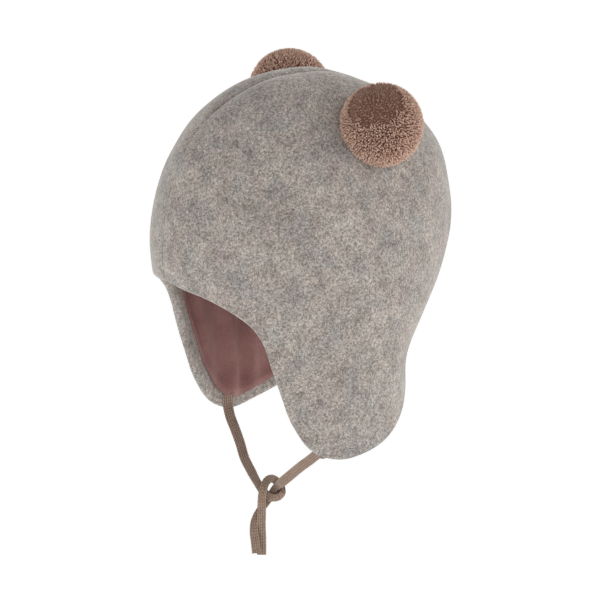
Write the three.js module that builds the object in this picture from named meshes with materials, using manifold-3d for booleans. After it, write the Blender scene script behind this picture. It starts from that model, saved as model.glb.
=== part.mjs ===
// Baby hat with ears: an ear-flap hat of wool fleece with a jersey lining, two pompon ears and braided ties.
// Millimetres, +Z up, the brow towards -Y and the wearer's left towards +X. The origin is the inside top of
// the crown, where the head carries the hat.
import * as THREE from "three";
import { mergeVertices } from "three/addons/utils/BufferGeometryUtils.js";
import Module from "manifold-3d";

const wasm = await Module();
wasm.setup();

// Thickness of the cloths, and the gap that neighbouring pieces keep.
const FLEECE = 3;
const JERSEY = 1.2;
const GAP = 0.3;
const CROWN_TOP = FLEECE + GAP + JERSEY;

// The hem: the fleece is folded round the edge and turned in, which makes a soft roll two layers thick.
const HEM_THICKNESS = 2 * FLEECE + 0.4;
const HEM_WIDTH = 8;
const HEM_STEP = 0.5;

// The centre seam from brow to nape pulls the fleece in as a narrow valley.
const SEAM_DIP = 2.2;
const SEAM_REACH = 4.5;

const POMPON_RADIUS = 23.6;
const POMPON_CENTRE = { x: 50.3, y: 21.8, z: -18.7 };
const POMPON_CLEARANCE = 0.4;

const TIE_DIAMETER = 3.2;
const TIE_SIDES = 8;

// Level rings of the outside, about 22 mm apart down the cloth: the drop below the crown, and the reach from
// the middle out to the side, to the brow and to the nape.
const LEVELS = [
  { drop: 0, side: 0, brow: 0, nape: 0 },
  { drop: 1.2, side: 11, brow: 20, nape: 16 },
  { drop: 6.2, side: 22, brow: 37, nape: 31 },
  { drop: 14.5, side: 33, brow: 52.5, nape: 48.5 },
  { drop: 27.5, side: 44.5, brow: 66.5, nape: 67.5 },
  { drop: 46.5, side: 56, brow: 78, nape: 83 },
  { drop: 68.5, side: 64.5, brow: 85, nape: 88.5 },
  { drop: 91.5, side: 69.5, brow: 87.5, nape: 88.5 },
  { drop: 113.5, side: 71.5, brow: 85.5, nape: 80.5 },
  { drop: 135.5, side: 71, brow: 83, nape: 66 },
  { drop: 157.5, side: 70, brow: 80, nape: 52 },
  { drop: 179.5, side: 69, brow: 77, nape: 52 },
  { drop: 201.5, side: 67, brow: 75, nape: 51 },
  { drop: 227.5, side: 65, brow: 74, nape: 50 },
];

// The edge, about 18 mm apart: the turn from the brow round to the nape in degrees, and the drop, on the
// wearer's left and right. The right tie draws its flap forward and down to a blunt point.
const EDGE = [
  { leftTurn: 0, leftDrop: 110, rightTurn: 0, rightDrop: 110 },
  { leftTurn: 12, leftDrop: 111.5, rightTurn: 12, rightDrop: 111.5 },
  { leftTurn: 24, leftDrop: 114, rightTurn: 23.5, rightDrop: 114 },
  { leftTurn: 34.5, leftDrop: 119.5, rightTurn: 33, rightDrop: 119.5 },
  { leftTurn: 43, leftDrop: 127.5, rightTurn: 40.5, rightDrop: 127.5 },
  { leftTurn: 47.5, leftDrop: 138, rightTurn: 44.5, rightDrop: 138 },
  { leftTurn: 49.5, leftDrop: 151.5, rightTurn: 46.5, rightDrop: 152 },
  { leftTurn: 52.5, leftDrop: 167, rightTurn: 50.5, rightDrop: 168 },
  { leftTurn: 57, leftDrop: 184.5, rightTurn: 56, rightDrop: 186 },
  { leftTurn: 66, leftDrop: 200.5, rightTurn: 66, rightDrop: 203 },
  { leftTurn: 80, leftDrop: 206.5, rightTurn: 80, rightDrop: 210.5 },
  { leftTurn: 97, leftDrop: 203.5, rightTurn: 97, rightDrop: 206.5 },
  { leftTurn: 113, leftDrop: 197.5, rightTurn: 113, rightDrop: 199.5 },
  { leftTurn: 127, leftDrop: 188, rightTurn: 127, rightDrop: 189 },
  { leftTurn: 138, leftDrop: 176.5, rightTurn: 138, rightDrop: 177 },
  { leftTurn: 148, leftDrop: 166, rightTurn: 148, rightDrop: 166 },
  { leftTurn: 159.5, leftDrop: 159.5, rightTurn: 159.5, rightDrop: 159.5 },
  { leftTurn: 170.5, leftDrop: 157.5, rightTurn: 170.5, rightDrop: 157.5 },
  { leftTurn: 180, leftDrop: 157.5, rightTurn: 180, rightDrop: 157.5 },
];

// Columns of the mesh as shares of the way from the brow seam to the nape seam, closer together at the seams.
const COLUMNS = [0, 0.012, 0.035];
for (let i = 2; i <= 22; i += 1) {
  COLUMNS.push(i / 24);
}
COLUMNS.push(0.965, 0.988, 1);

// Rows of the mesh: level rings over the dome, then shares of the skirt between the last ring and the hem.
const BAND_LEVEL = 6.3;
const DOME_ROWS = [0, 0.35, 0.8, 1.4, 2.2, 3.1, 4.1, 5.2, BAND_LEVEL];
const SKIRT_ROWS = [0.3, 0.65];

// Routes of the ties, each from the inside of its flap tip to its cut end. They are tied once in front of the
// throat: the right tie goes round the left one, and both ends hang.
const TIE_ROUTES = {
  tie_left: [
    [56.6, -16.6, -194.0],
    [55.8, -17.0, -199.0],
    [50.5, -17.6, -200.8],
    [41.5, -18.3, -207.2],
    [32.0, -18.9, -213.9],
    [22.5, -19.3, -221.0],
    [13.0, -19.8, -228.2],
    [2.0, -17.0, -234.6],
    [0.8, -19.4, -238.8],
    [0.3, -21.8, -242.4],
    [-0.3, -24.5, -245.8],
    [-0.5, -27.4, -249.3],
    [0.9, -30.4, -253.5],
    [2.9, -32.0, -258.6],
    [4.7, -32.3, -263.3],
    [6.5, -32.4, -270.0],
  ],
  tie_right: [
    [-56.6, -15.7, -195.0],
    [-55.8, -16.1, -201.0],
    [-51.0, -17.3, -206.8],
    [-43.5, -18.2, -212.6],
    [-35.5, -19.3, -218.9],
    [-28.0, -20.8, -225.0],
    [-18.5, -21.9, -229.9],
    [-5.5, -25.0, -232.8],
    [-0.6, -24.3, -236.4],
    [3.7, -21.7, -239.3],
    [5.2, -17.8, -239.3],
    [3.3, -14.1, -237.5],
    [-1.0, -13.3, -234.2],
    [-2.6, -16.2, -231.3],
    [-1.1, -20.2, -230.4],
    [1.1, -23.8, -231.9],
    [2.6, -26.0, -235.2],
    [3.1, -26.9, -239.4],
    [3.1, -27.1, -243.8],
    [3.1, -27.2, -248.8],
    [3.2, -27.5, -254.4],
    [3.9, -27.7, -260.3],
    [4.6, -28.0, -265.2],
    [5.3, -28.5, -272.0],
  ],
};

const clothMaterials = {
  fleece: { color: 0xaaa39f, roughness: 0.95, metalness: 0 },
  jersey: { color: 0x835f5c, roughness: 0.9, metalness: 0 },
  pompon: { color: 0x8d6b60, roughness: 0.95, metalness: 0 },
  tie: { color: 0x8b7668, roughness: 0.85, metalness: 0 },
};

// One column of a table at a fractional row, as a smooth curve through the rows. Before the first row the
// table goes on as its mirror image, odd or even, and past the last row it goes straight on.
function between(table, position, column, odd) {
  const last = table.length - 1;
  const row = Math.min(Math.floor(position), last - 1);
  const value = (i) => {
    if (i < 0) {
      return (odd ? -1 : 1) * table[-i][column];
    }
    if (i > last) {
      return 2 * table[last][column] - table[2 * last - i][column];
    }
    return table[i][column];
  };
  const [a, b, c, d] = [row - 1, row, row + 1, row + 2].map(value);
  const f = position - row;
  const curve = -a + 3 * b - 3 * c + d;
  const bend = 2 * a - 5 * b + 4 * c - d;
  return (2 * b + (c - a) * f + bend * f ** 2 + curve * f ** 3) / 2;
}

// The outside of the hat at a turn from the brow, in radians, and a level, in rows of LEVELS.
function surface(turn, level) {
  const side = between(LEVELS, level, "side", true);
  const brow = between(LEVELS, level, "brow", true);
  const nape = between(LEVELS, level, "nape", true);
  const towardsBrow = (1 + Math.cos(turn)) / 2;
  const reach = THREE.MathUtils.lerp(nape, brow, towardsBrow);
  const height = CROWN_TOP - between(LEVELS, level, "drop", false);
  return new THREE.Vector3(side * Math.sin(turn), -reach * Math.cos(turn), height);
}

// The direction straight out of the cloth.
function outward(turn, level) {
  if (level === 0) {
    return new THREE.Vector3(0, 0, 1);
  }
  const step = 0.01;
  const round = surface(turn + step, level).sub(surface(turn - step, level));
  const down = surface(turn, level + step).sub(surface(turn, level - step));
  return down.cross(round).normalize();
}

function levelOf(drop) {
  let low = 0;
  let high = LEVELS.length - 1;
  for (let i = 0; i < 40; i += 1) {
    const middle = (low + high) / 2;
    if (between(LEVELS, middle, "drop", false) < drop) {
      low = middle;
    } else {
      high = middle;
    }
  }
  return low;
}

// The edge of one half as closely spaced points, each with its distance along the edge from the brow seam.
function edgeLine(sideName) {
  const points = [];
  for (let i = 0; i <= 360; i += 1) {
    const row = (i / 360) * (EDGE.length - 1);
    const turn = THREE.MathUtils.degToRad(between(EDGE, row, `${sideName}Turn`, true));
    const level = levelOf(between(EDGE, row, `${sideName}Drop`, false));
    const point = surface(turn, level);
    const before = points[i - 1];
    const distance = before ? before.distance + point.distanceTo(before.point) : 0;
    points.push({ turn, level, point, distance });
  }
  return points;
}

// The edge at a share of its length, with its direction there.
function edgeAt(line, share) {
  const distance = share * line[line.length - 1].distance;
  const i = Math.max(1, line.findIndex((p) => p.distance >= distance - 1e-9));
  const a = line[i - 1];
  const b = line[i];
  const f = (distance - a.distance) / (b.distance - a.distance);
  return {
    turn: THREE.MathUtils.lerp(a.turn, b.turn, f),
    level: THREE.MathUtils.lerp(a.level, b.level, f),
    along: b.point.clone().sub(a.point).normalize(),
  };
}

// The change of turn and level in one millimetre straight up from the edge. At both seams it keeps the turn.
function upFromEdge(edge, atSeam) {
  const step = 0.01;
  const perTurn = surface(edge.turn + step, edge.level).sub(surface(edge.turn - step, edge.level));
  const perLevel = surface(edge.turn, edge.level + step).sub(surface(edge.turn, edge.level - step));
  perTurn.divideScalar(2 * step);
  perLevel.divideScalar(2 * step);
  if (atSeam) {
    return { turn: 0, level: -1 / perLevel.length() };
  }
  const up = outward(edge.turn, edge.level).cross(edge.along);
  const shear = perTurn.dot(perLevel);
  const area = perTurn.lengthSq() * perLevel.lengthSq() - shear ** 2;
  return {
    turn: (perLevel.lengthSq() * up.dot(perTurn) - shear * up.dot(perLevel)) / area,
    level: (perTurn.lengthSq() * up.dot(perLevel) - shear * up.dot(perTurn)) / area,
  };
}

// A column runs down the dome at one turn, and then straight over the skirt to its own point above the edge.
function makeColumn(share, line) {
  const edge = edgeAt(line, share);
  const up = upFromEdge(edge, share === 0 || share === 1);
  const turn = Math.PI * share;
  const aboveEdge = (inset) => ({
    turn: edge.turn + up.turn * inset,
    level: edge.level + up.level * inset,
  });
  return {
    onDome: (level) => ({ turn, level }),
    aboveEdge,
    aboveHem: (f, inset) => ({
      turn: THREE.MathUtils.lerp(turn, aboveEdge(inset).turn, f),
      level: THREE.MathUtils.lerp(BAND_LEVEL, aboveEdge(inset).level, f),
    }),
  };
}

// The point that lies a depth inside the cloth's outer face, with the seam's valley.
function pointAt(spot, depth) {
  const point = surface(spot.turn, spot.level);
  const valley = SEAM_DIP * Math.exp(-Math.abs(point.x) / SEAM_REACH);
  return point.addScaledVector(outward(spot.turn, spot.level), -depth - valley);
}

// One half of a shell as a closed mesh. Each rung says where on a column it is, and its two depths, outer and
// inner. Where both depths are the same the two faces meet. The side is 1 for the wearer's left, -1 for right.
function halfShell(rungs, side) {
  const columns = side > 0 ? leftColumns : rightColumns;
  const positions = [];
  const triangles = [];
  const index = new Map();
  const vertex = (column, row, face) => {
    const rung = rungs[row];
    const depth = face === "outer" ? rung.outer : rung.inner;
    const key = `${row === 0 ? 0 : column}/${row}/${depth}`;
    if (!index.has(key)) {
      const point = pointAt(rung.place(columns[column]), depth);
      index.set(key, positions.length / 3);
      positions.push(side * (point.x + GAP / 2), point.y, point.z);
    }
    return index.get(key);
  };
  const triangle = (a, b, c) => {
    if (a !== b && b !== c && c !== a) {
      triangles.push(a, ...(side > 0 ? [b, c] : [c, b]));
    }
  };
  const quad = (a, b, c, d) => {
    triangle(a, b, c);
    triangle(a, c, d);
  };
  const lastRow = rungs.length - 1;
  const lastColumn = columns.length - 1;
  for (let c = 0; c < lastColumn; c += 1) {
    for (let r = 0; r < lastRow; r += 1) {
      quad(vertex(c, r, "outer"), vertex(c, r + 1, "outer"), vertex(c + 1, r + 1, "outer"), vertex(c + 1, r, "outer"));
      quad(vertex(c, r, "inner"), vertex(c + 1, r, "inner"), vertex(c + 1, r + 1, "inner"), vertex(c, r + 1, "inner"));
    }
    quad(
      vertex(c, lastRow, "outer"),
      vertex(c, lastRow, "inner"),
      vertex(c + 1, lastRow, "inner"),
      vertex(c + 1, lastRow, "outer"),
    );
  }
  for (let r = 0; r < lastRow; r += 1) {
    quad(vertex(0, r, "outer"), vertex(0, r, "inner"), vertex(0, r + 1, "inner"), vertex(0, r + 1, "outer"));
    quad(
      vertex(lastColumn, r, "outer"),
      vertex(lastColumn, r + 1, "outer"),
      vertex(lastColumn, r + 1, "inner"),
      vertex(lastColumn, r, "inner"),
    );
  }
  const geometry = new THREE.BufferGeometry();
  geometry.setAttribute("position", new THREE.Float32BufferAttribute(positions, 3));
  geometry.setIndex(triangles);
  return geometry;
}

const leftEdge = edgeLine("left");
const rightEdge = edgeLine("right");
const leftColumns = COLUMNS.map((share) => makeColumn(share, leftEdge));
const rightColumns = COLUMNS.map((share) => makeColumn(share, rightEdge));

// Rungs from the crown down to an inset above the edge, between two depths.
function wallRungs(outer, inner, inset) {
  const onDome = DOME_ROWS.map((level) => ({ place: (column) => column.onDome(level), outer, inner }));
  const onSkirt = SKIRT_ROWS.map((f) => ({ place: (column) => column.aboveHem(f, inset), outer, inner }));
  const last = { place: (column) => column.aboveEdge(inset), outer, inner };
  return [...onDome, ...onSkirt, last];
}

// Rungs of the rolled hem: a step up to its full thickness, then half a circle round the edge.
function hemRungs() {
  const radius = HEM_THICKNESS / 2;
  const rungs = [{ place: (column) => column.aboveEdge(HEM_WIDTH), outer: 0, inner: HEM_THICKNESS }];
  [90, 45, 0].forEach((angle) => {
    const across = radius * Math.sin(THREE.MathUtils.degToRad(angle));
    const inset = radius * (1 - Math.cos(THREE.MathUtils.degToRad(angle)));
    rungs.push({
      place: (column) => column.aboveEdge(inset),
      outer: radius - across,
      inner: radius + across,
    });
  });
  return rungs;
}

function solidOf(geometry) {
  const bare = geometry.clone();
  bare.deleteAttribute("normal");
  bare.deleteAttribute("uv");
  const merged = mergeVertices(bare, 1e-4);
  return new wasm.Manifold(
    new wasm.Mesh({
      numProp: 3,
      vertProperties: merged.attributes.position.array,
      triVerts: new Uint32Array(merged.index.array),
    }),
  );
}

function geometryOf(solid) {
  const mesh = solid.getMesh();
  const geometry = new THREE.BufferGeometry();
  geometry.setAttribute("position", new THREE.BufferAttribute(mesh.vertProperties, 3));
  geometry.setIndex(new THREE.BufferAttribute(mesh.triVerts, 1));
  return geometry;
}

function makeFleece(side) {
  const wall = wallRungs(0, FLEECE, HEM_WIDTH + HEM_STEP);
  return halfShell([...wall, ...hemRungs()], side);
}

function makeLining(side) {
  return halfShell(wallRungs(FLEECE + GAP, FLEECE + GAP + JERSEY, HEM_WIDTH + HEM_STEP + GAP), side);
}

// A ball with its foot pressed flat on the slope of the crown.
function makePompon(side) {
  const ball = new THREE.IcosahedronGeometry(POMPON_RADIUS, 4);
  ball.translate(side * POMPON_CENTRE.x, POMPON_CENTRE.y, POMPON_CENTRE.z);
  const crown = halfShell(wallRungs(-POMPON_CLEARANCE, POMPON_RADIUS, HEM_WIDTH), side);
  return geometryOf(solidOf(ball).subtract(solidOf(crown)));
}

function makeTie(route) {
  const path = new THREE.CatmullRomCurve3(route.map((point) => new THREE.Vector3(...point)));
  const section = new THREE.Shape();
  for (let i = 0; i < TIE_SIDES; i += 1) {
    const angle = (i / TIE_SIDES) * 2 * Math.PI;
    const x = (TIE_DIAMETER / 2) * Math.cos(angle);
    const y = (TIE_DIAMETER / 2) * Math.sin(angle);
    if (i === 0) {
      section.moveTo(x, y);
    } else {
      section.lineTo(x, y);
    }
  }
  section.closePath();
  const steps = route.length * 2 - 6;
  return new THREE.ExtrudeGeometry(section, { steps, extrudePath: path, bevelEnabled: false });
}

function piece(name, geometry, finish) {
  const mesh = new THREE.Mesh(geometry, new THREE.MeshStandardMaterial(clothMaterials[finish]));
  mesh.name = name;
  return mesh;
}

const hat = new THREE.Group();
[
  { name: "left", side: 1 },
  { name: "right", side: -1 },
].forEach(({ name, side }) => {
  hat.add(piece(`fleece_${name}`, makeFleece(side), "fleece"));
  hat.add(piece(`lining_${name}`, makeLining(side), "jersey"));
  hat.add(piece(`pompon_${name}`, makePompon(side), "pompon"));
  hat.add(piece(`tie_${name}`, makeTie(TIE_ROUTES[`tie_${name}`]), "tie"));
});

export default hat;
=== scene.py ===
# %% [markdown]
# # A baby hat with two pompon ears
# The hat is sewn from two panels of boiled wool fleece that meet in one seam from the brow over the crown to
# the nape. A jersey lining sits inside it, two pompons make the ears, and two flat braids tie it on.
# The measured frame comes first, because every cloth is laid on the place that the frame gives it.

import math
import random

import bmesh
import bpy
import numpy as np
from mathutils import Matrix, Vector, noise
from mathutils.bvhtree import BVHTree


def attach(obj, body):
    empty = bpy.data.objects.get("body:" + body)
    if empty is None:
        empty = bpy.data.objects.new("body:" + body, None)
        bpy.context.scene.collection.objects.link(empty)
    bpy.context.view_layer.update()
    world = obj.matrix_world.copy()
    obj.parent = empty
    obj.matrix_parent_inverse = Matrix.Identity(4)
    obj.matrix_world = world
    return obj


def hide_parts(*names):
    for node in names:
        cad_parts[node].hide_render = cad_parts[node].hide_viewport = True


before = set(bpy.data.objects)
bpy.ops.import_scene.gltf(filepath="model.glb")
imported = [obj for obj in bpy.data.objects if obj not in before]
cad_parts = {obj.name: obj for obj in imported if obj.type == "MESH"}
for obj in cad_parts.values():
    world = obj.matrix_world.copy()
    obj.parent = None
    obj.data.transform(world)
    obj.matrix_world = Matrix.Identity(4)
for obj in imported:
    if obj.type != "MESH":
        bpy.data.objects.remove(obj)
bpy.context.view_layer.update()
MM = 0.001

# %% [markdown]
# ## The eye of the picture
# A long lens from a little above, off the wearer's left brow, shows the near flap flat, the seam as a low
# ridge and the far flap through the face opening. A long lens keeps the two pompons almost the same size.

# %% Camera
AIM = Vector((0.0050, -0.0032, -0.1257))
VIEW_AZIMUTH = math.radians(60)
VIEW_ELEVATION = math.radians(16)
VIEW_DISTANCE = 2.2
LENS_LENGTH = 236
SENSOR_WIDTH = 36
towards_eye = Vector((
    math.sin(VIEW_AZIMUTH) * math.cos(VIEW_ELEVATION),
    -math.cos(VIEW_AZIMUTH) * math.cos(VIEW_ELEVATION),
    math.sin(VIEW_ELEVATION),
))
eye_data = bpy.data.cameras.new("eye")
eye_data.lens = LENS_LENGTH
eye_data.sensor_width = SENSOR_WIDTH
eye = bpy.data.objects.new("eye", eye_data)
eye.location = AIM + VIEW_DISTANCE * towards_eye
eye.rotation_mode = "QUATERNION"
eye.rotation_quaternion = (-towards_eye).to_track_quat("-Z", "Y")
bpy.context.scene.collection.objects.link(eye)
bpy.context.scene.camera = eye
print("eye at", np.round(eye.location, 3))

# %% [markdown]
# ## Helpers for every piece
# A cloth starts as a flat grid, and each of its points is then moved to its place in the sewn hat. The grid
# keeps the neighbours, so the moves never tear it. Work is done in millimetres and stored in metres.

# %% Helpers for meshes


def grid_of(rows, columns, layer="depth"):
    """A flat grid as a bmesh with a number at each point, and its points as a list of rows."""
    cloth = bmesh.new()
    cloth.verts.layers.float.new(layer)
    bmesh.ops.create_grid(cloth, x_segments=columns - 1, y_segments=rows - 1, size=1)
    ordered = sorted(cloth.verts, key=lambda v: (round(v.co.y, 5), v.co.x))
    return cloth, [ordered[r * columns:(r + 1) * columns] for r in range(rows)]


def move_to(points, places):
    """Moves a grid's points to places in millimetres."""
    for row, row_places in zip(points, places):
        for point, place in zip(row, row_places):
            point.co = Vector(place) * MM


def finish_mesh(shape, name, material, node):
    """Makes a bmesh an object that rides on the hat and stands for one node of the frame."""
    mesh = bpy.data.meshes.new(name)
    shape.to_mesh(mesh)
    shape.free()
    mesh.polygons.foreach_set("use_smooth", [True] * len(mesh.polygons))
    mesh.materials.append(material)
    made = bpy.data.objects.new(name, mesh)
    bpy.context.scene.collection.objects.link(made)
    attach(made, "root")
    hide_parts(node)
    print(name, len(mesh.polygons), "faces")
    return made


def smoothstep(low, high, value):
    t = np.clip((value - low) / (high - low), 0, 1)
    return t * t * (3 - 2 * t)


def soft_noise(places, size, seed):
    """Smooth noise from -1 to 1 at places in millimetres, with swells of about the given size."""
    flat = np.asarray(places).reshape(-1, 3) / size
    values = [noise.noise(Vector(p) + Vector((seed, 2 * seed, 0))) for p in flat]
    return np.array(values).reshape(np.shape(places)[:-1])


# %% [markdown]
# ## Helpers for finishes
# Every finish is a Principled shader with its colour and bump mixed from noise. The noise reads Object
# coordinates, which stay with the cloth, so the pattern is cut into the material and not cast on it.

# %% Helpers for materials


def new_finish(name, roughness, sheen, sheen_roughness, sheen_tint):
    material = bpy.data.materials.new(name)
    material.use_nodes = True
    tree = material.node_tree
    shader = tree.nodes["Principled BSDF"]
    shader.inputs["Roughness"].default_value = roughness
    shader.inputs["Specular IOR Level"].default_value = 0.15
    shader.inputs["Sheen Weight"].default_value = sheen
    shader.inputs["Sheen Roughness"].default_value = sheen_roughness
    shader.inputs["Sheen Tint"].default_value = (*sheen_tint, 1)
    return material, tree, shader


def node_of(tree, kind, settings=None, **values):
    """A node with its settings and input values; a value that is a socket is linked."""
    made = tree.nodes.new(kind)
    for key, value in (settings or {}).items():
        setattr(made, key, value)
    for key, value in values.items():
        socket = made.inputs[key.replace("_", " ")]
        if isinstance(value, bpy.types.NodeSocket):
            tree.links.new(value, socket)
        else:
            socket.default_value = value
    return made


def noise_value(tree, where, scale, detail=2.0, rough=0.5):
    made = node_of(tree, "ShaderNodeTexNoise", Vector=where, Scale=scale, Detail=detail, Roughness=rough)
    return made.outputs[0]


def ramp(tree, value, stops):
    """Colours or greys along a value, from a list of (position, colour)."""
    made = node_of(tree, "ShaderNodeValToRGB", Fac=value)
    made.color_ramp.interpolation = "LINEAR"
    while len(made.color_ramp.elements) < len(stops):
        made.color_ramp.elements.new(0.5)
    for element, (position, colour) in zip(made.color_ramp.elements, stops):
        element.position = position
        element.color = (*colour, 1) if hasattr(colour, "__len__") else (colour, colour, colour, 1)
    return made.outputs[0]


def mixed(tree, share, a, b, how="MIX"):
    made = tree.nodes.new("ShaderNodeMix")
    made.data_type = "RGBA"
    made.blend_type = how
    for index, value in ((0, share), (6, a), (7, b)):
        if isinstance(value, bpy.types.NodeSocket):
            tree.links.new(value, made.inputs[index])
        elif index == 0:
            made.inputs[index].default_value = value
        else:
            made.inputs[index].default_value = (*value, 1)
    return made.outputs[2]


def summed(tree, a, b, weight):
    """The height a + weight * b."""
    made = tree.nodes.new("ShaderNodeMath")
    made.operation = "MULTIPLY_ADD"
    tree.links.new(b, made.inputs[0])
    made.inputs[1].default_value = weight
    tree.links.new(a, made.inputs[2])
    return made.outputs[0]


def bumped(tree, shader, height, strength, distance):
    made = node_of(tree, "ShaderNodeBump", Strength=strength, Distance=distance, Height=height)
    tree.links.new(made.outputs[0], shader.inputs["Normal"])


def srgb(r, g, b):
    """A colour as a screen shows it, from 0 to 255, as the linear light that a shader takes."""
    shares = (r / 255, g / 255, b / 255)
    return tuple(c / 12.92 if c <= 0.04045 else ((c + 0.055) / 1.055) ** 2.4 for c in shares)


# %% [markdown]
# ## The braided ties
# Each tie is a flat braid, about 6 mm wide and 1.9 mm thick, sewn between lining and hem at a flap tip. The
# two are tied once in a loose half knot and their cut ends hang. A route gives the middle of a braid, the
# same points as in the frame. A braid has a face and an edge, so each route also says where its face looks.

# %% Routes of the ties, in metres
TIE_ROUTES = {
    "left": [
        (0.0566, -0.0166, -0.1940), (0.0558, -0.0170, -0.1990), (0.0505, -0.0176, -0.2008),
        (0.0415, -0.0183, -0.2072), (0.0320, -0.0189, -0.2139), (0.0225, -0.0193, -0.2210),
        (0.0130, -0.0198, -0.2282), (0.0020, -0.0170, -0.2346), (0.0008, -0.0194, -0.2388),
        (0.0003, -0.0218, -0.2424), (-0.0003, -0.0245, -0.2458), (-0.0005, -0.0274, -0.2493),
        (0.0009, -0.0304, -0.2535), (0.0029, -0.0320, -0.2586), (0.0047, -0.0323, -0.2633),
        (0.0065, -0.0324, -0.2700),
    ],
    "right": [
        (-0.0566, -0.0157, -0.1950), (-0.0558, -0.0161, -0.2010), (-0.0510, -0.0173, -0.2068),
        (-0.0435, -0.0182, -0.2126), (-0.0355, -0.0193, -0.2189), (-0.0280, -0.0208, -0.2250),
        (-0.0185, -0.0219, -0.2299), (-0.0055, -0.0250, -0.2328), (-0.0006, -0.0243, -0.2364),
        (0.0037, -0.0217, -0.2393), (0.0052, -0.0178, -0.2393), (0.0033, -0.0141, -0.2375),
        (-0.0010, -0.0133, -0.2342), (-0.0026, -0.0162, -0.2313), (-0.0011, -0.0202, -0.2304),
        (0.0011, -0.0238, -0.2319), (0.0026, -0.0260, -0.2352), (0.0031, -0.0269, -0.2394),
        (0.0031, -0.0271, -0.2438), (0.0031, -0.0272, -0.2488), (0.0032, -0.0275, -0.2544),
        (0.0039, -0.0277, -0.2603), (0.0046, -0.0280, -0.2652), (0.0053, -0.0285, -0.2720),
    ],
}
ROUTE_STEP = 0.00025


def smooth_route(points, steps=24):
    """A smooth curve through route points that keeps its pace in short spans (a centripetal spline)."""
    ends = [2 * points[0] - points[1], *points, 2 * points[-1] - points[-2]]
    curve = []
    for a, b, c, d in zip(ends, ends[1:], ends[2:], ends[3:]):
        before, here, after = (max((q - p).length, 1e-9) ** 0.5 for p, q in ((a, b), (b, c), (c, d)))
        leave = ((b - a) / before - (c - a) / (before + here) + (c - b) / here) * here
        arrive = ((c - b) / here - (d - b) / (here + after) + (d - c) / after) * here
        for i in range(steps):
            t = i / steps
            bend = -3 * b + 3 * c - 2 * leave - arrive
            turn = 2 * b - 2 * c + leave + arrive
            curve.append(b + leave * t + bend * t * t + turn * t ** 3)
    return [*curve, points[-1]]


def even_steps(curve, step):
    """Points of a curve at even distances, and its length."""
    line = np.array(curve)
    distance = np.concatenate([[0], np.cumsum(np.linalg.norm(np.diff(line, axis=0), axis=1))])
    along = np.linspace(0, distance[-1], int(distance[-1] / step) + 1)
    return np.stack([np.interp(along, distance, line[:, k]) for k in range(3)], axis=1), distance[-1]


tie_lines = {}
for side_name, route in TIE_ROUTES.items():
    curve = smooth_route([Vector(p) for p in route])
    tie_lines[side_name] = even_steps(curve, ROUTE_STEP)
    print("tie", side_name, "is", round(tie_lines[side_name][1] * 1000, 1), "mm long")

# %% [markdown]
# A flat braid of this kind shows five ribs along its face. Each rib is a column of slanting stitches, and
# neighbouring ribs slant opposite ways, which makes the herringbone. The braid is a grid rolled into a flat
# tube along the route, with each stitch raised. Inside the knot it is pressed narrower and thicker.

# %% Braids
RIBS = 5
STITCH = 0.0017
RELIEF = 0.00036
AROUND = 44
# a face turns evenly over this many steps of the route
FACE_WINDOW = 27


def facing(line, base, other, near, knot_end):
    """Where the face of a braid looks: its base way, but inside the knot away from the other braid."""
    faces = np.tile(base, (len(line), 1))
    gap = np.linalg.norm(line[:, None] - other[None], axis=2)
    nearest = other[gap.argmin(axis=1)]
    apart = line - nearest
    apart /= np.linalg.norm(apart, axis=1, keepdims=True) + 1e-12
    inside = smoothstep(knot_end + 0.05, knot_end, np.linspace(0, 1, len(line)))
    pull = (smoothstep(near[1], near[0], gap.min(axis=1)) * inside)[:, None]
    flip = np.sign((apart * faces).sum(axis=1, keepdims=True))
    return faces * (1 - pull) + apart * flip * pull


def stitch_height(across, along):
    """Height of the braid's stitches, 0 to 1: across the face from -1 to 1, and along it in metres."""
    rib = np.clip(np.floor((across + 1) / 2 * RIBS), 0, RIBS - 1)
    inside = (across + 1) / 2 * RIBS - rib - 0.5
    slant = np.where(rib % 2 == 0, 1, -1)
    crown = np.cos(np.pi * inside) ** 0.7
    wave = 0.5 + 0.5 * np.cos(2 * np.pi * (along / STITCH + slant * inside * 0.9))
    return crown * (0.45 + 0.55 * wave)


def make_braid(name, line, faces, widths, thicknesses):
    tangent = np.gradient(line, axis=0)
    tangent /= np.linalg.norm(tangent, axis=1, keepdims=True)
    kernel = np.hanning(FACE_WINDOW) / np.hanning(FACE_WINDOW).sum()
    margin = FACE_WINDOW // 2
    padded_faces = np.pad(faces, ((margin, margin), (0, 0)), mode="edge")
    up = np.stack([np.convolve(padded_faces[:, k], kernel, "valid") for k in range(3)], axis=1)
    up -= tangent * (up * tangent).sum(axis=1, keepdims=True)
    up /= np.linalg.norm(up, axis=1, keepdims=True)
    side = np.cross(tangent, up)
    along = np.arange(len(line)) * ROUTE_STEP
    angle = np.linspace(0, 2 * np.pi, AROUND + 1)
    flat_x = np.sign(np.cos(angle)) * np.abs(np.cos(angle)) ** 0.75
    flat_y = np.sign(np.sin(angle)) * np.abs(np.sin(angle)) ** 0.55
    across = np.clip(flat_x, -0.999, 0.999)[None]
    height = stitch_height(across, along[:, None] + (flat_y < 0)[None] * STITCH / 2)
    x = flat_x[None] * widths[:, None] / 2
    y = flat_y[None] * (thicknesses[:, None] / 2 - RELIEF + RELIEF * height)
    tube, points = grid_of(len(line), AROUND + 1, "relief")
    relief = tube.verts.layers.float["relief"]
    for r, row in enumerate(points):
        for c, point in enumerate(row):
            point.co = Vector(line[r] + side[r] * x[r, c] + up[r] * y[r, c])
            point[relief] = height[r, c]
    bmesh.ops.remove_doubles(tube, verts=tube.verts, dist=1e-6)
    bmesh.ops.holes_fill(tube, edges=[e for e in tube.edges if e.is_boundary])
    bmesh.ops.recalc_face_normals(tube, faces=tube.faces)
    return tube


print("a braid has", RIBS, "ribs and a stitch every", STITCH * 1000, "mm")

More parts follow.
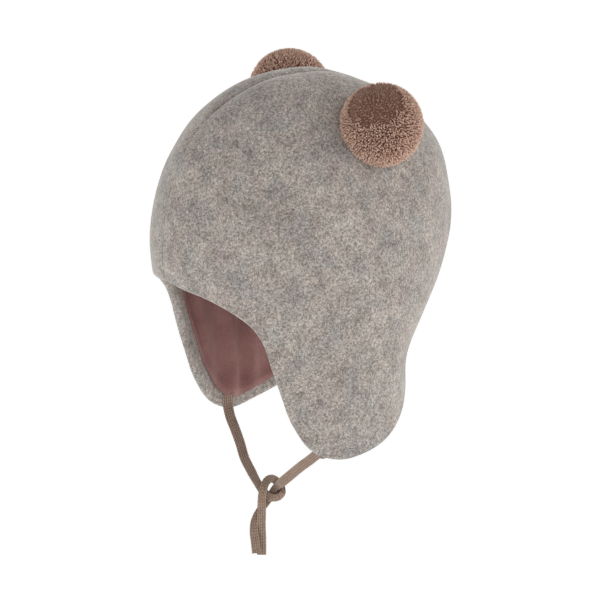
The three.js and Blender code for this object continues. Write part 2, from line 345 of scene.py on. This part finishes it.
# %% [markdown]
# The braid's finish: warm brown cotton. The ribs come from the mesh, so the material only adds the fine
# threads of each stitch and painted shade low between the ribs.

# %% Finish of the braid
braid_finish, tree, shader = new_finish("cotton_braid", 0.85, 0.25, 0.5, (0.9, 0.8, 0.72))
place = node_of(tree, "ShaderNodeTexCoord").outputs["Object"]
threads = noise_value(tree, place, 2600, 2)
tones = noise_value(tree, place, 260, 1)
thread_tone = ramp(tree, threads, [
    (0.3, srgb(130, 109, 94)), (0.5, srgb(180, 156, 138)), (0.72, srgb(224, 202, 184)),
])
length_tone = ramp(tree, tones, [(0.35, srgb(146, 122, 106)), (0.65, srgb(184, 160, 142))])
braid_tone = mixed(tree, 0.35, thread_tone, length_tone)
depth = node_of(tree, "ShaderNodeAttribute", {"attribute_name": "relief"}).outputs["Fac"]
# painted shade: the braid turns dark brown where its stitch relief is low, between the ribs and the stitches
braid_tone = mixed(tree, ramp(tree, depth, [(0.1, 1.0), (0.75, 0.0)]), braid_tone, srgb(78, 60, 51))
tree.links.new(braid_tone, shader.inputs["Base Color"])
bumped(tree, shader, threads, 0.5, 0.0002)

# %% Ties
FACE_FORWARD = np.array([0.83, -0.48, 0.28])
# a braid turns its face from the other one fully at the first distance and not at all at the second
PRESSED_APART = (0.0036, 0.0055)
# share of each route at which its knot ends
KNOT_END = {"left": 0.62, "right": 0.68}


def along_route(line, keys):
    """Values along a line from (share, value) keys."""
    share = np.linspace(0, 1, len(line))
    return np.interp(share, [k[0] for k in keys], [k[1] for k in keys])


left_line = tie_lines["left"][0]
right_line = tie_lines["right"][0]
left_faces = facing(left_line, FACE_FORWARD, right_line, PRESSED_APART, KNOT_END["left"])
right_faces = facing(right_line, FACE_FORWARD, left_line, PRESSED_APART, KNOT_END["right"])
# keys of width and of thickness: share of the route, millimetres
tie_shapes = {
    "left": (
        left_line, left_faces,
        along_route(left_line, [(0, 5.6), (0.5, 5.6), (0.6, 4.6), (0.76, 4.4), (0.9, 5.0), (1, 5.2)]),
        along_route(left_line, [(0, 1.7), (0.5, 1.9), (0.6, 2.8), (0.76, 2.5), (0.9, 1.9), (1, 1.9)]),
    ),
    "right": (
        right_line, right_faces,
        along_route(right_line, [(0, 6.0), (0.38, 5.3), (0.46, 4.6), (0.72, 4.6), (0.84, 5.0), (1, 5.3)]),
        along_route(right_line, [(0, 1.7), (0.38, 1.9), (0.46, 3.2), (0.70, 3.2), (0.84, 2.0), (1, 1.9)]),
    ),
}
for side_name, (line, faces, widths, thicknesses) in tie_shapes.items():
    tube = make_braid("braided_tie_" + side_name, line, faces, widths * MM, thicknesses * MM)
    finish_mesh(tube, "braided_tie_" + side_name, braid_finish, "tie_" + side_name)

# %% [markdown]
# ## The form of the hat
# The cloth follows level rings from the crown down, each with its reach to the side, the brow and the nape.
# The edge is a second table, round half of the hat: over the brow, down the flap, and up to the nape. The
# same numbers made the frame, so the soft cloth lands on the stiff walls that stand in for it.

# %% Tables of the form, in millimetres
FLEECE = 3.0
JERSEY = 1.2
GAP = 0.3
CROWN_TOP = FLEECE + GAP + JERSEY
HEM_RADIUS = 3.2
HEM_WIDTH = 8.0
LINING_INSET = 7.3
BAND_LEVEL = 6.3
# drop below the crown, and reach to the side, to the brow and to the nape
LEVELS = np.array([
    (0, 0, 0, 0), (1.2, 11, 20, 16), (6.2, 22, 37, 31), (14.5, 33, 52.5, 48.5), (27.5, 44.5, 66.5, 67.5),
    (46.5, 56, 78, 83), (68.5, 64.5, 85, 88.5), (91.5, 69.5, 87.5, 88.5), (113.5, 71.5, 85.5, 80.5),
    (135.5, 71, 83, 66), (157.5, 70, 80, 52), (179.5, 69, 77, 52), (201.5, 67, 75, 51), (227.5, 65, 74, 50),
])
# Turn from the brow in degrees, and drop. The left rows are a fitting program's output, rounded, and the
# right rows were changed from them. Rows drawn by hand should take their place.
EDGE = {
    "left": np.array([
        (0, 110), (12, 111.5), (24, 114), (34.5, 119.5), (43, 127.5), (47.5, 138), (49.5, 151.5),
        (52.5, 167), (57, 184.5), (66, 200.5), (80, 206.5), (97, 203.5), (113, 197.5), (127, 188),
        (138, 176.5), (148, 166), (159.5, 159.5), (170.5, 157.5), (180, 157.5),
    ]),
    "right": np.array([
        (0, 110), (12, 111.5), (23.5, 114), (33, 119.5), (40.5, 127.5), (44.5, 138), (46.5, 152),
        (50.5, 168), (56, 186), (66, 203), (80, 210.5), (97, 206.5), (113, 199.5), (127, 189), (138, 177),
        (148, 166), (159.5, 159.5), (170.5, 157.5), (180, 157.5),
    ]),
}


def between(values, position, odd):
    """A smooth curve through a table's column at fractional rows, mirrored before the first row."""
    last = len(values) - 1
    points = np.concatenate([[-values[1] if odd else values[1]], values, [2 * values[last] - values[last - 1]]])
    row = np.clip(np.floor(position).astype(int), 0, last - 1)
    f = position - row
    a, b, c, d = (points[row + i] for i in range(4))
    return (2 * b + (c - a) * f + (2 * a - 5 * b + 4 * c - d) * f ** 2 + (-a + 3 * b - 3 * c + d) * f ** 3) / 2


def surface(turn, level):
    """The outside of the hat at a turn from the brow and a level ring."""
    drop, side, brow, nape = (between(LEVELS[:, k], level, k > 0) for k in range(4))
    reach = nape + (brow - nape) * (1 + np.cos(turn)) / 2
    return np.stack([side * np.sin(turn), -reach * np.cos(turn), CROWN_TOP - drop], axis=-1)


def outward(turn, level):
    """The direction straight out of the cloth."""
    level = np.maximum(level, 0.02)
    down = surface(turn, level + 0.01) - surface(turn, level - 0.01)
    round_about = surface(turn + 0.01, level) - surface(turn - 0.01, level)
    straight = np.cross(down, round_about)
    return straight / np.linalg.norm(straight, axis=-1, keepdims=True)


def slopes(turn, level):
    """How the outside moves with the turn and with the level."""
    per_turn = (surface(turn + 0.01, level) - surface(turn - 0.01, level)) / 0.02
    per_level = (surface(turn, level + 0.01) - surface(turn, level - 0.01)) / 0.02
    return per_turn, per_level


print("level rings", len(LEVELS), "and edge points", len(EDGE["left"]))

# %% [markdown]
# A column of the cloth runs straight down the dome and then fans out to its own point of the edge, where it
# stands square on the edge. Columns stand close together beside the seam, where the cloth turns sharply, and
# about 2 mm apart elsewhere.

# %% Columns and rows of a panel
SEAM_SHARES = np.array([0, 0.0008, 0.002, 0.004, 0.0065, 0.0095, 0.013, 0.018, 0.024, 0.031])
shares = np.concatenate([SEAM_SHARES, np.linspace(0.039, 0.961, 108), 1 - SEAM_SHARES[::-1]])
dome_turn = np.pi * shares


def edge_columns(table):
    """Where every column meets the edge, and its step in turn and level for 1 mm straight up from there."""
    rows = np.linspace(0, len(table) - 1, 361)
    turn = np.radians(between(table[:, 0], rows, True))
    fine = np.linspace(0, len(LEVELS) - 1, 8001)
    level = np.interp(between(table[:, 1], rows, False), between(LEVELS[:, 0], fine, False), fine)
    line = surface(turn, level)
    run = np.concatenate([[0], np.cumsum(np.linalg.norm(np.diff(line, axis=0), axis=1))])
    along = np.gradient(line, run, axis=0)
    places = shares * run[-1]
    turn, level = np.interp(places, run, turn), np.interp(places, run, level)
    along = np.stack([np.interp(places, run, along[:, k]) for k in range(3)], axis=1)
    up = np.cross(outward(turn, level), along)
    up /= np.linalg.norm(up, axis=1, keepdims=True)
    per_turn, per_level = slopes(turn, level)
    tt = (per_turn * per_turn).sum(axis=1)
    ll = (per_level * per_level).sum(axis=1)
    tl = (per_turn * per_level).sum(axis=1)
    ut = (up * per_turn).sum(axis=1)
    ul = (up * per_level).sum(axis=1)
    turn_step = (ll * ut - tl * ul) / (tt * ll - tl ** 2)
    level_step = (tt * ul - tl * ut) / (tt * ll - tl ** 2)
    for end in (0, -1):
        turn_step[end] = 0
        level_step[end] = -1 / math.sqrt(ll[end])
    print("half of the edge is", round(run[-1], 1), "mm long")
    return turn, level, turn_step, level_step


edges = {side_name: edge_columns(table) for side_name, table in EDGE.items()}


def above_edge(side_name, inset):
    """Turn and level of every column at an inset straight up from the edge."""
    turn, level, turn_step, level_step = edges[side_name]
    return turn + turn_step * inset, level + level_step * inset


def panel_rows(side_name, last_inset, skirt_rows):
    """Turn and level of every row of a panel, from the crown down to an inset above the edge."""
    rows = [(dome_turn, np.full(len(shares), level)) for level in np.linspace(0, BAND_LEVEL, 58)]
    last_turn, last_level = above_edge(side_name, last_inset)
    for f in np.linspace(0, 1, skirt_rows)[1:]:
        rows.append((dome_turn + (last_turn - dome_turn) * f, BAND_LEVEL + (last_level - BAND_LEVEL) * f))
    return rows


print(len(shares), "columns")

# %% [markdown]
# ## The seam and the slack of the cloth
# At the seam both panels turn in, so the edge of each is a small roll, and the stitches pull a wide shallow
# valley. Beside the valley the thick fleece stands up in a soft ridge. Away from it boiled wool is never
# quite even, so slow noise lifts and sinks it by a fraction of a millimetre.

# %% Seam and slack
SEAM_ROLL = 2.0
SEAM_GAP = 0.04
VALLEY = 2.1
VALLEY_REACH = 4.5
RIDGE = 0.7
RIDGE_PLACE = 9.0
SLACK_SEED = 7


def seam_roll(x, radius):
    """How far a rolled edge turns in at a distance from the seam."""
    left = np.clip(1 - x / radius, 0, 1)
    return radius * (1 - np.sqrt(1 - left ** 2))


def seam_valley(x, weight):
    ridge = RIDGE * (x / RIDGE_PLACE) * np.exp(1 - x / RIDGE_PLACE)
    return VALLEY * np.exp(-x / VALLEY_REACH) - ridge * weight


def slack(places):
    return 0.55 * soft_noise(places, 46, SLACK_SEED) + 0.25 * soft_noise(places, 17, SLACK_SEED + 3)


# %% [markdown]
# ## The finish of the fleece
# Boiled wool is a melange: grey, cream and mauve fibres lie matted, so the colour changes from fibre to fibre
# and more slowly from one hand's breadth to the next. Three sizes of noise mix it. Sheen stands for the
# fluff, which catches light wherever the cloth turns away.

# %% Finish of the fleece


def make_fleece_finish(name):
    material, tree, shader = new_finish(name, 0.95, 0.7, 0.38, (1.0, 0.97, 0.93))
    place = node_of(tree, "ShaderNodeTexCoord").outputs["Object"]
    fibres = noise_value(tree, place, 1250, 3, 0.65)
    specks = noise_value(tree, place, 640, 2, 0.6)
    clumps = noise_value(tree, place, 130, 3, 0.65)
    clouds = noise_value(tree, place, 46, 3, 0.6)
    elsewhere = node_of(tree, "ShaderNodeMapping", Vector=place, Location=(3, 1, 2)).outputs[0]
    warmth = noise_value(tree, elsewhere, 70, 2)
    base = ramp(tree, clouds, [
        (0.36, srgb(146, 138, 133)), (0.5, srgb(167, 159, 153)), (0.64, srgb(182, 175, 167)),
    ])
    tinted = ramp(tree, warmth, [
        (0.32, srgb(156, 152, 148)), (0.46, srgb(168, 160, 153)),
        (0.56, srgb(173, 163, 153)), (0.68, srgb(162, 147, 145)),
    ])
    tone = mixed(tree, 0.6, base, tinted)
    tone = mixed(tree, 0.55, tone, ramp(tree, clumps, [(0.36, 0.70), (0.5, 1.0), (0.64, 1.18)]), "MULTIPLY")
    tone = mixed(tree, 0.8, tone, ramp(tree, specks, [(0.35, 0.60), (0.5, 1.0), (0.66, 1.30)]), "MULTIPLY")
    tone = mixed(tree, 0.85, tone, ramp(tree, fibres, [(0.35, 0.48), (0.5, 1.0), (0.67, 1.50)]), "MULTIPLY")
    tree.links.new(tone, shader.inputs["Base Color"])
    height = summed(tree, fibres, specks, 1.2)
    bumped(tree, shader, height, 0.55, 0.0006)
    return material


fleece_finish = make_fleece_finish("boiled_wool_melange")
print("finish", fleece_finish.name)

# %% [markdown]
# ## The two fleece panels
# A panel is one sheet: it runs from the crown to the edge, turns round a half circle and ends inside, where
# the lining covers its cut edge. The grid lies on the outer face of that sheet, and a Solidify modifier gives
# it the fleece's thickness inwards, so the hem really is two layers thick.

# %% Fleece panels


def panel_places(rows, depths, edge_share, side, rolled):
    """Places of a panel's grid: on the form, at a depth, with seam, ridge and slack."""
    turn = np.array([r[0] for r in rows])
    level = np.array([r[1] for r in rows])
    straight = outward(turn, level)
    straight[level < 0.01] = (0, 0, 1)
    form = surface(turn, level)
    x = np.abs(form[..., 0])
    calm = 1 - 0.6 * edge_share
    tight = 1 - 0.88 * smoothstep(2.2, 4.6, level) * smoothstep(1.2, 0.5, turn)
    inwards = depths + seam_valley(x, calm) * calm * tight
    if rolled == "out":
        inwards = inwards + seam_roll(x, SEAM_ROLL * tight) * (1 - edge_share)
    else:
        inwards = inwards - seam_roll(x, JERSEY)
    mirrored = form * (side, 1, 1)
    inwards = inwards - slack(mirrored) * np.clip(level / 2, 0, 1) * (1 - 0.5 * edge_share)
    places = form - straight * inwards[..., None]
    places[..., 0] = np.maximum(places[..., 0], 0) + SEAM_GAP
    return places * (side, 1, 1)


def fleece_rows(side_name):
    """Rows of a fleece panel with their depth: down the outside, round the hem and up inside it."""
    rows = [(row, 0.0, 0.0) for row in panel_rows(side_name, HEM_WIDTH + 0.7, 30)]
    for inset in np.linspace(HEM_WIDTH, HEM_RADIUS + 0.6, 4)[1:]:
        rows.append((above_edge(side_name, inset), 0.0, 0.0))
    for angle in np.radians(np.linspace(90, -90, 15)):
        inset = HEM_RADIUS * (1 - math.cos(angle))
        depth = HEM_RADIUS * (1 - math.sin(angle))
        rows.append((above_edge(side_name, inset), depth, (1 - math.sin(angle)) / 2))
    for inset in np.linspace(HEM_RADIUS + 0.7, HEM_WIDTH, 4):
        rows.append((above_edge(side_name, inset), 2 * HEM_RADIUS, 1.0))
    return rows


def turned_right(cloth, side):
    """Merges the crown's points and turns the faces so that the first layer of a panel looks out."""
    bmesh.ops.remove_doubles(cloth, verts=cloth.verts, dist=1e-7)
    if side > 0:
        bmesh.ops.reverse_faces(cloth, faces=cloth.faces)


def thicken(made, thickness):
    """Gives a sheet its thickness, away from the side that its faces look to."""
    wall = made.modifiers.new("thickness", "SOLIDIFY")
    wall.thickness = thickness * MM
    wall.offset = -1
    wall.use_even_offset = False


fleece_panels = {}
outer_skins = {}
for side_name, side in (("left", 1), ("right", -1)):
    rows = fleece_rows(side_name)
    depths = np.array([r[1] for r in rows])[:, None] * np.ones(len(shares))
    inner_share = np.array([r[2] for r in rows])[:, None] * np.ones(len(shares))
    places = panel_places([r[0] for r in rows], depths, inner_share, side, "out")
    cloth, points = grid_of(len(rows), len(shares))
    move_to(points, places)
    turned_right(cloth, side)
    outer_skins[side_name] = BVHTree.FromBMesh(cloth)
    fleece_panels[side_name] = finish_mesh(
        cloth, "fleece_panel_" + side_name, fleece_finish, "fleece_" + side_name
    )
    thicken(fleece_panels[side_name], FLEECE)
    one_layer = sum(p.area for p in fleece_panels[side_name].data.polygons)
    print("fleece panel", side_name, "needs", round(one_layer, 4), "square metres")

# %% [markdown]
# ## The jersey lining
# The lining has the same two panels in thin jersey, a little larger than the room it has, so it lies in soft
# folds. Its lower edge is sewn on the turned-in fleece, which lifts it towards the head, and it puckers where
# a tie is caught in that seam. Its visible face is the inner one, so the grid lies there and thickens outwards.

# %% Lining panels
LINING_DEPTH = FLEECE + GAP + JERSEY
EDGE_LIFT = 3.1
FOLD_HEIGHT = 0.8
CREASE_HEIGHT = 3.0
# turn of each crease in degrees, and how far it leans for one level ring down
CREASES = {"left": [(62, 1.0), (86, -1.5)], "right": [(69, 1.5), (92, -2.0)]}
TIE_PLACE = np.array([56.6, -16.6, -196.0])
PUCKER = 2.4
# room left between the lining and the depth of its stand-in
LINING_EASE = 0.15


def make_jersey_finish(name):
    material, tree, shader = new_finish(name, 0.9, 0.3, 0.5, (0.9, 0.78, 0.76))
    place = node_of(tree, "ShaderNodeTexCoord").outputs["Object"]
    knit = node_of(tree, "ShaderNodeTexWave", {"wave_type": "BANDS", "bands_direction": "Y"},
                   Vector=place, Scale=420.0, Distortion=1.2, Detail=1.0).outputs["Fac"]
    fluff = noise_value(tree, place, 900, 2)
    tones = noise_value(tree, place, 60, 2)
    tone = ramp(tree, tones, [(0.35, srgb(142, 102, 98)), (0.65, srgb(160, 120, 115))])
    tone = mixed(tree, 0.5, tone, ramp(tree, fluff, [(0.35, 0.82), (0.65, 1.15)]), "MULTIPLY")
    tree.links.new(tone, shader.inputs["Base Color"])
    bumped(tree, shader, summed(tree, fluff, knit, 0.6), 0.35, 0.0003)
    return material


jersey_finish = make_jersey_finish("soft_jersey")
lining_panels = {}
for side_name, side in (("left", 1), ("right", -1)):
    rows = panel_rows(side_name, LINING_INSET, 34)
    level = np.array([r[1] for r in rows])
    turn = np.array([r[0] for r in rows])
    form = surface(turn, level)
    from_edge = np.linalg.norm(form - form[-1], axis=2)
    lift = EDGE_LIFT * smoothstep(8.5, 1.3, from_edge)
    fold_weight = smoothstep(1.5, 8, level) * smoothstep(-2, 12, from_edge)
    swing = turn * 11 + side * 0.9 + 1.6 * soft_noise(form * (side, 1, 1), 40, 21)
    folds = FOLD_HEIGHT * (0.5 + 0.5 * np.cos(swing)) ** 1.6 * fold_weight
    for crease_turn, crease_lean in CREASES[side_name]:
        apart = np.degrees(turn) - crease_turn - crease_lean * (level - 9)
        folds = folds + CREASE_HEIGHT * np.exp(-(np.abs(apart) / 8 - 1) ** 2 * 4) * fold_weight
    from_tie = form - TIE_PLACE
    pucker = PUCKER * np.exp(-(from_tie[..., 1] / 5.5) ** 2 - (from_tie[..., 2] / 7.5) ** 2)
    depths = LINING_DEPTH + LINING_EASE + lift + folds + pucker * (form[..., 0] > 30)
    places = panel_places(rows, depths, np.zeros_like(level), side, "in")
    cloth, points = grid_of(len(rows), len(shares))
    move_to(points, places)
    turned_right(cloth, side)
    bmesh.ops.reverse_faces(cloth, faces=cloth.faces)
    lining_panels[side_name] = finish_mesh(
        cloth, "lining_panel_" + side_name, jersey_finish, "lining_" + side_name
    )
    thicken(lining_panels[side_name], JERSEY)
    one_layer = sum(p.area for p in lining_panels[side_name].data.polygons)
    print("lining panel", side_name, "needs", round(one_layer, 4), "square metres")

# %% [markdown]
# ## The pompon ears
# A pompon is a ball of cut yarn ends. A core, painted dark as the shade deep between the ends, holds the places
# between them, and some thousands of small blunt ends stand on it, spread as evenly as the seeds of a sunflower
# and then shaken a little. Each end is painted darker towards its root, for the shade that the ends cast on
# each other.
# Ends that would go into the crown stop on it, so the ball sits with a pressed foot. On the left pompon the
# shears went deeper in one place, which leaves a shallow hollow with a ragged rim, its ends painted darker as
# its shade.

# %% Pompons
POMPON_RADIUS = 0.0236
POMPON_CENTRE = Vector((0.0503, 0.0218, -0.0187))
YARN_ENDS = 5200
END_WIDTH = 0.00105
END_LENGTH = 0.0032
# gap between a yarn end and the crown, and how far the core, painted dark as shade, stays under the ends and
# the crown
CROWN_GAP = 0.0004
CORE_UNDER_ENDS = 0.0016
CORE_GAP = 0.0006
# how ragged the trim is, how deep the hollow is cut, and how near its middle an end must be to lie in it
TRIM_SPREAD = 0.00034
HOLLOW_DEPTH = 0.0012
HOLLOW_START = 0.72


def make_yarn_finish(name):
    material, tree, shader = new_finish(name, 0.9, 0.4, 0.5, (0.95, 0.8, 0.72))
    place = node_of(tree, "ShaderNodeTexCoord").outputs["Object"]
    fluff = noise_value(tree, place, 1500, 3, 0.6)
    tones = noise_value(tree, place, 190, 2)
    shade = node_of(tree, "ShaderNodeAttribute", {"attribute_name": "yarn_tone_and_shade"}).outputs["Fac"]
    # painted shade: the low end of this ramp is the shade of the core, of the yarn roots and of the hollow; the
    # ends' own tones vary above it
    tone = ramp(tree, shade, [
        (0.0, srgb(112, 84, 72)), (0.3, srgb(158, 130, 116)),
        (0.7, srgb(218, 188, 172)), (1.0, srgb(250, 226, 212)),
    ])
    warm_and_cool = ramp(tree, tones, [(0.35, srgb(176, 146, 122)), (0.65, srgb(196, 170, 158))])
    tone = mixed(tree, 0.5, tone, warm_and_cool, "SOFT_LIGHT")
    tone = mixed(tree, 0.7, tone, ramp(tree, fluff, [(0.33, 0.72), (0.66, 1.2)]), "MULTIPLY")
    tree.links.new(tone, shader.inputs["Base Color"])
    bumped(tree, shader, fluff, 0.5, 0.0003)
    return material


def reach_of(skin, centre, direction):
    """How far the ball may go in a direction before it meets the crown."""
    hit = skin.ray_cast(centre, direction)
    return hit[3] - CROWN_GAP if hit[0] is not None and hit[3] < POMPON_RADIUS else POMPON_RADIUS


def make_pompon(side, skin, hollow_direction, seed):
    chance = random.Random(seed)
    centre = Vector((side * POMPON_CENTRE.x, POMPON_CENTRE.y, POMPON_CENTRE.z))
    ball = bmesh.new()
    shade = ball.verts.layers.float.new("yarn_tone_and_shade")
    bmesh.ops.create_icosphere(ball, subdivisions=5, radius=1)
    for point in ball.verts:
        direction = point.co.normalized()
        room = min(reach_of(skin, centre, direction), POMPON_RADIUS - CORE_UNDER_ENDS)
        point.co = centre + direction * (room - CORE_GAP)
        # painted shade: the core takes the darkest tone, standing for the shade deep between the yarn ends
        point[shade] = 0.0
    cut = bmesh.new()
    bmesh.ops.create_icosphere(cut, subdivisions=1, radius=1)
    pattern = bpy.data.meshes.new("yarn_end")
    cut.to_mesh(pattern)
    cut.free()
    for i in range(YARN_ENDS):
        height = 1 - 2 * (i + 0.5) / YARN_ENDS
        round_turn = i * math.pi * (3 - math.sqrt(5))
        level = math.sqrt(1 - height * height)
        direction = Vector((level * math.cos(round_turn), level * math.sin(round_turn), height))
        direction += Vector([chance.gauss(0, 0.012) for _ in range(3)])
        direction.normalize()
        room = reach_of(skin, centre, direction)
        ragged = hollow_direction.dot(direction) + 0.11 * noise.noise(direction * 5) + chance.gauss(0, 0.012)
        hollow = 1.0 if ragged > HOLLOW_START else 0.0
        trim = chance.gauss(0, TRIM_SPREAD) - HOLLOW_DEPTH * hollow
        lobes = 0.0005 * noise.noise(direction * 3.1 + Vector((seed, 0, 0)))
        tip = min(room, POMPON_RADIUS - 0.0001 + trim + lobes)
        lean = Vector([chance.gauss(0, 0.22) for _ in range(3)])
        axis = (direction + lean - lean.dot(direction) * direction).normalized()
        width = END_WIDTH * chance.uniform(0.72, 1.15)
        # each end's own tone varies at random; painted shade makes the ends in the hollow darker
        tone = chance.uniform(0.6, 1.0) - 0.42 * hollow
        first = len(ball.verts)
        ball.from_mesh(pattern)
        ball.verts.ensure_lookup_table()
        turned = axis.to_track_quat("Z", "Y").to_matrix()
        for j in range(first, len(ball.verts)):
            point = ball.verts[j]
            local = point.co.copy()
            point.co = centre + direction * (tip - END_LENGTH / 2) + turned @ Vector(
                (local.x * width / 2, local.y * width / 2, local.z * END_LENGTH / 2)
            )
            # painted shade: each end darkens from its tip towards its root, where the ends shade each other
            point[shade] = tone * float(smoothstep(-0.3, 0.9, local.z))
    bpy.data.meshes.remove(pattern)
    return ball


yarn_finish = make_yarn_finish("pompon_yarn")
# which way the hollow looks; the right pompon has none
hollow_ways = {"left": Vector((0.38, -0.42, 0.82)), "right": Vector((0, 0, 0))}
for side_name, side, seed in (("left", 1, 5), ("right", -1, 9)):
    ball = make_pompon(side, outer_skins[side_name], hollow_ways[side_name].normalized(), seed)
    finish_mesh(
        ball, "pompon_ear_" + side_name, yarn_finish, "pompon_" + side_name
    )

# %% [markdown]
# ## Floor and light
# The hat keeps the place it has on a head, so the pale floor lies well below it. The room is bright all
# round and dimmer overhead, the floor is a lit table, and one wide soft lamp stands low behind the wearer's
# left, so that the sides and the flaps are lighter than the crown.

# %% Floor and light
FLOOR_SIZE = 12
FLOOR_DROP = 1.0
floor_shape = bmesh.new()
bmesh.ops.create_grid(floor_shape, x_segments=1, y_segments=1, size=FLOOR_SIZE)
bmesh.ops.translate(floor_shape, verts=floor_shape.verts, vec=(0, 0, -FLOOR_DROP))
floor_mesh = bpy.data.meshes.new("floor")
floor_shape.to_mesh(floor_mesh)
floor_shape.free()
floor_finish = bpy.data.materials.new("pale_floor")
floor_finish.use_nodes = True
floor_inputs = floor_finish.node_tree.nodes["Principled BSDF"].inputs
floor_inputs["Base Color"].default_value = (0.93, 0.93, 0.93, 1)
floor_inputs["Roughness"].default_value = 1.0
floor_inputs["Emission Color"].default_value = (1, 1, 1, 1)
floor_inputs["Emission Strength"].default_value = 0.42
floor_mesh.materials.append(floor_finish)
floor = bpy.data.objects.new("floor", floor_mesh)
bpy.context.scene.collection.objects.link(floor)

room_light = bpy.data.worlds.new("bright_room")
room_light.use_nodes = True
sky = room_light.node_tree
heights = node_of(sky, "ShaderNodeSeparateXYZ", Vector=node_of(sky, "ShaderNodeTexCoord").outputs["Generated"])
brightness = ramp(sky, heights.outputs["Z"], [(0.0, 1.06), (0.25, 0.94), (0.6, 0.54), (1.0, 0.2)])
sky.links.new(brightness, sky.nodes["Background"].inputs["Color"])
sky.nodes["Background"].inputs["Strength"].default_value = 1.2
bpy.context.scene.world = room_light
lamp_data = bpy.data.lights.new("wide_lamp", "SUN")
lamp_data.energy = 0.6
lamp_data.angle = math.radians(50)
lamp = bpy.data.objects.new("wide_lamp", lamp_data)
lamp.rotation_mode = "QUATERNION"
lamp.rotation_quaternion = Vector((-0.4, -0.75, -0.16)).to_track_quat("-Z", "Y")
bpy.context.scene.collection.objects.link(lamp)
bpy.context.scene.view_settings.view_transform = "Standard"
print("floor and light set")
